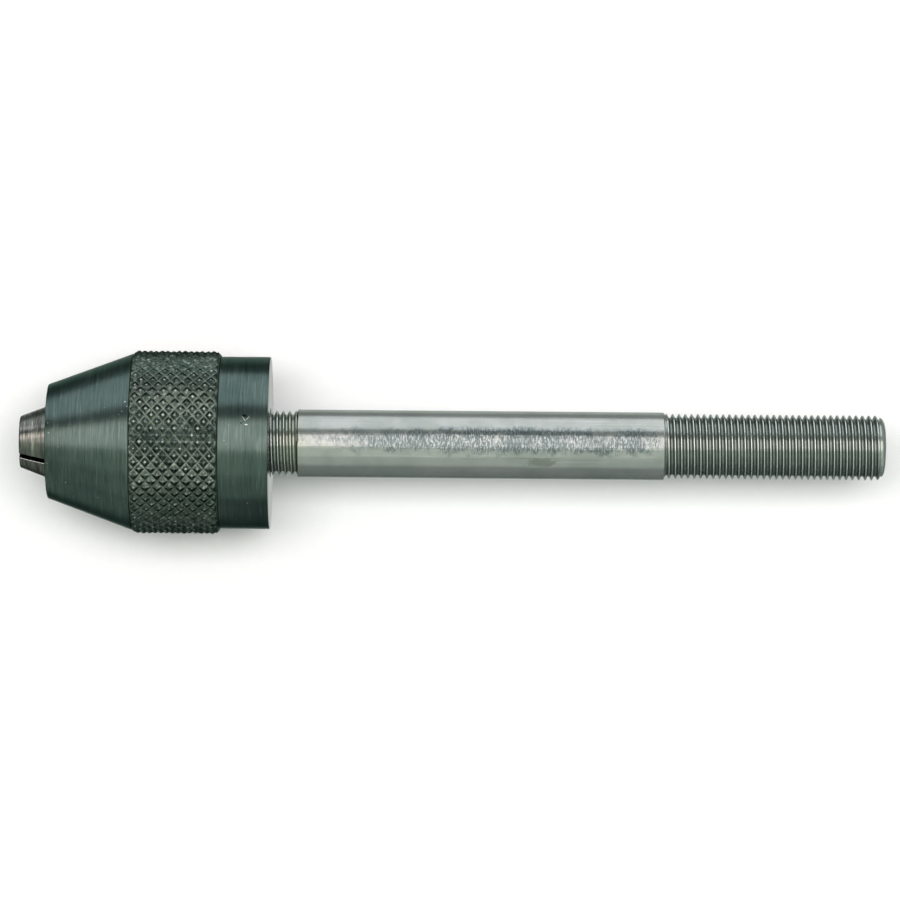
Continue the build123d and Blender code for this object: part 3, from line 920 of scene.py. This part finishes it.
def jaw_steel():
    """Hardened jaws: mid grey, with coarse turning lines and a lighter stripe along them that is a painted
    highlight.
    """
    m = Shader("jaw_steel_turned")
    fine = m.noise(m.turned(7000, 2), 1.0, 2.0, 0.6)
    lines = m.noise(m.turned(2300, 0.7), 1.0, 3.0, 0.75)
    tone = m.mix(m.steps(fine, 0.3, 0.7), (0.17, 0.185, 0.16, 1), (0.26, 0.265, 0.235, 1))
    # Painted highlight: a lighter stripe along each jaw.
    tone = m.mix(m.math("MULTIPLY", m.patch(JAW_PAINTED_HIGHLIGHT, 0.3), 0.6), tone, (0.50, 0.49, 0.44, 1))
    tone = m.mix(m.math("MULTIPLY", m.steps(lines, 0.54, 0.66), 0.7), tone, (0.60, 0.59, 0.54, 1))
    tone = m.mix(m.math("MULTIPLY", m.steps(lines, 0.47, 0.35), 0.8), tone, (0.08, 0.085, 0.075, 1))
    m.shade(Base_Color=tone, Metallic=1.0, Roughness=0.26, Specular_Tint=(0.5, 0.5, 0.5, 1))
    m.shade(Normal=m.bump(lines, 0.012 * MM, 0.6, m.bump(fine, 0.004 * MM, 0.7)))
    m.round_grain(0.6)
    return m.material


def slit_painted_shade():
    """Near black on the jaws' slit faces: painted shade in the narrow slits between the jaws."""
    m = Shader("jaw_steel_slit")
    film = m.noise(m.place(), 1500.0, 2.0, 0.6)
    tone = m.mix(film, (0.008, 0.010, 0.008, 1), (0.030, 0.036, 0.030, 1))
    m.shade(Base_Color=tone, Metallic=1.0, Roughness=0.5, Specular_Tint=(0.1, 0.1, 0.1, 1))
    return m.material


def edge_wear_and_highlight():
    """Jaw edges along the slits, rubbed bright and painted near white as a highlight."""
    m = Shader("jaw_steel_edge")
    wear_and_highlight = m.noise(m.place(), 1400.0, 2.0, 0.6)
    tone = m.mix(wear_and_highlight, (0.70, 0.70, 0.66, 1), (0.92, 0.92, 0.88, 1))
    m.shade(Base_Color=tone, Metallic=1.0, Roughness=0.25)
    return m.material


def inner_steel(name, tone, roughness):
    """Machined steel of the hidden pieces."""
    m = Shader(name)
    fine = m.noise(m.place(), 2500.0, 2.0, 0.6)
    colour = m.mix(fine, tone, tuple(0.7 * c for c in tone[:3]) + (1,))
    m.shade(Base_Color=colour, Metallic=1.0, Roughness=roughness, Normal=m.bump(fine, 0.003 * MM, 0.4))
    return m.material


def floor_paper():
    """Matt white paper."""
    m = Shader("floor_paper")
    fibre = m.noise(m.place(), 900.0, 4.0, 0.6)
    m.shade(Base_Color=m.mix(fibre, grey(0.82), grey(0.86)), Roughness=0.85, Specular_IOR_Level=0.1)
    return m.material


# ---------------------------------------------------------------- stage, lights and camera
centre_x = (cad_low.x + cad_high.x) / 2


def build_floor():
    """Pale floor that the knurled sleeve lies on."""
    reach = 3.0
    z = -knurl_r
    corners = [(-reach, -reach, z), (reach, -reach, z), (reach, reach, z), (-reach, reach, z)]
    floor = new_object("floor", corners, [(0, 1, 2, 3)])
    floor.data.materials.append(floor_paper())
    floor.visible_glossy = False


def area_light(name, angle, distance, width, length, radiance, colour):
    """Soft box along the chuck, of a given brightness, at an angle in degrees from straight up towards +Y."""
    light = bpy.data.lights.new(name, "AREA")
    light.shape = "RECTANGLE"
    light.size, light.size_y = length, width
    light.energy = radiance * math.pi * width * length
    light.color = colour
    holder = bpy.data.objects.new(name, light)
    tilt = math.radians(angle)
    holder.location = (centre_x, math.sin(tilt) * distance, math.cos(tilt) * distance)
    holder.rotation_euler = (-tilt, 0, 0)
    holder.visible_camera = False
    bpy.context.scene.collection.objects.link(holder)
    return holder


def build_lights():
    """Two soft boxes and two fills that the metal mirrors, a key light only for the floor, and the room."""
    area_light("overhead_box", 10.5, 0.75, 0.56, 3.2, 1.26, (1.09, 1.0, 0.97))
    area_light("side_box", 79, 0.55, 0.56, 1.9, 0.79, (0.97, 1.0, 1.06))
    area_light("near_fill", -26, 0.75, 0.43, 2.2, 0.42, (0.89, 1.0, 0.84))
    area_light("low_fill", -60, 0.75, 0.53, 2.4, 0.25, (0.87, 1.0, 0.87))
    floor_key = area_light("floor_key", 8, 0.75, 0.26, 0.7, 7.0, (1.0, 1.0, 1.0))
    floor_key.visible_glossy = False

    build_room()


def build_room():
    """Dim room, brighter where the lit table lies beyond the chuck's shadow and low in front of the nose."""
    world = bpy.data.worlds.new("studio")
    world.use_nodes = True
    nodes, links = world.node_tree.nodes, world.node_tree.links
    looking = nodes.new("ShaderNodeTexCoord").outputs["Generated"]

    def glow(direction, outer_degrees, inner_degrees, around, colour):
        """Colour around, and another within an angle of a direction."""
        towards = nodes.new("ShaderNodeVectorMath")
        towards.operation = "DOT_PRODUCT"
        towards.inputs[1].default_value = Vector(direction).normalized()
        links.new(looking, towards.inputs[0])
        level = nodes.new("ShaderNodeMapRange")
        level.interpolation_type = "SMOOTHSTEP"
        level.inputs["From Min"].default_value = math.cos(math.radians(outer_degrees))
        level.inputs["From Max"].default_value = math.cos(math.radians(inner_degrees))
        links.new(towards.outputs["Value"], level.inputs["Value"])
        colours = nodes.new("ShaderNodeMix")
        colours.data_type = "RGBA"
        links.new(level.outputs["Result"], colours.inputs[MIX_SHARE])
        feed(world.node_tree, colours.inputs[MIX_FIRST], around)
        colours.inputs[MIX_SECOND].default_value = colour
        return colours.outputs[MIX_RESULT]

    dim_room = (0.115, 0.14, 0.136, 1)
    lit_table = (0.62, 0.64, 0.62, 1)
    low_light = (0.34, 0.38, 0.35, 1)
    beyond_shadow = (0, 0.21, -0.98)
    before_nose = (-0.55, -0.80, -0.24)
    light = glow(beyond_shadow, 40, 18, dim_room, lit_table)
    light = glow(before_nose, 32, 12, light, low_light)
    links.new(light, nodes["Background"].inputs["Color"])
    bpy.context.scene.world = world


def build_camera():
    """Long lens above the middle of the part, at an assumed distance."""
    height = 593 * MM
    left_of_middle = 0.3 * MM
    below_axis = 0.65 * MM
    roll = math.radians(0.48)
    camera = bpy.data.cameras.new("camera")
    camera.sensor_width = 36
    camera.lens = 200
    camera.clip_start, camera.clip_end = 0.01, 20
    holder = bpy.data.objects.new("camera", camera)
    holder.location = (centre_x - left_of_middle, -below_axis, height)
    holder.rotation_euler = (0, 0, roll)
    bpy.context.scene.collection.objects.link(holder)
    bpy.context.scene.camera = holder


# ---------------------------------------------------------------- assembly
def dress(piece, materials, body, node):
    """Gives a piece its materials and its body, and hides the CAD node that it stands for."""
    for material in materials:
        piece.data.materials.append(material)
    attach(piece, body)
    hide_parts(node)


shell_materials = [blackened_steel(), faced_steel_painted_reflection()]
dress(build_shank(), [bright_steel()], "shank", "threaded_shank")
dress(build_rear_cap(), shell_materials, "shell", "rear_cap")
dress(build_nose_cone(), shell_materials, "shell", "nose_cone")
dress(build_knurled_sleeve(), [knurled_steel()], "shell", "knurled_sleeve")
jaw_materials = [jaw_steel(), slit_painted_shade(), edge_wear_and_highlight()]
for jaw_number in jaw_angles:
    dress(build_jaw(jaw_number), jaw_materials, f"jaw_{jaw_number}", f"jaw_{jaw_number}")

inner_materials = {
    "machined_steel": inner_steel("machined_steel_inner", (0.45, 0.45, 0.44, 1), 0.35),
    "fastener_steel": inner_steel("fastener_steel_inner", (0.3, 0.31, 0.32, 1), 0.4),
    "bearing_steel": inner_steel("bearing_steel_inner", (0.7, 0.71, 0.73, 1), 0.12),
    "cage_brass": inner_steel("cage_brass_inner", (0.72, 0.5, 0.2, 1), 0.3),
    "spring_wire": inner_steel("spring_wire_inner", (0.35, 0.35, 0.34, 1), 0.3),
}
for row in record["subparts"]:
    if row["material_slot"] in inner_materials:
        node = frame["nodes"][row["node"]]
        node.data.materials.clear()
        node.data.materials.append(inner_materials[row["material_slot"]])

build_floor()
build_lights()
build_camera()
bpy.context.scene.view_settings.view_transform = "Standard"
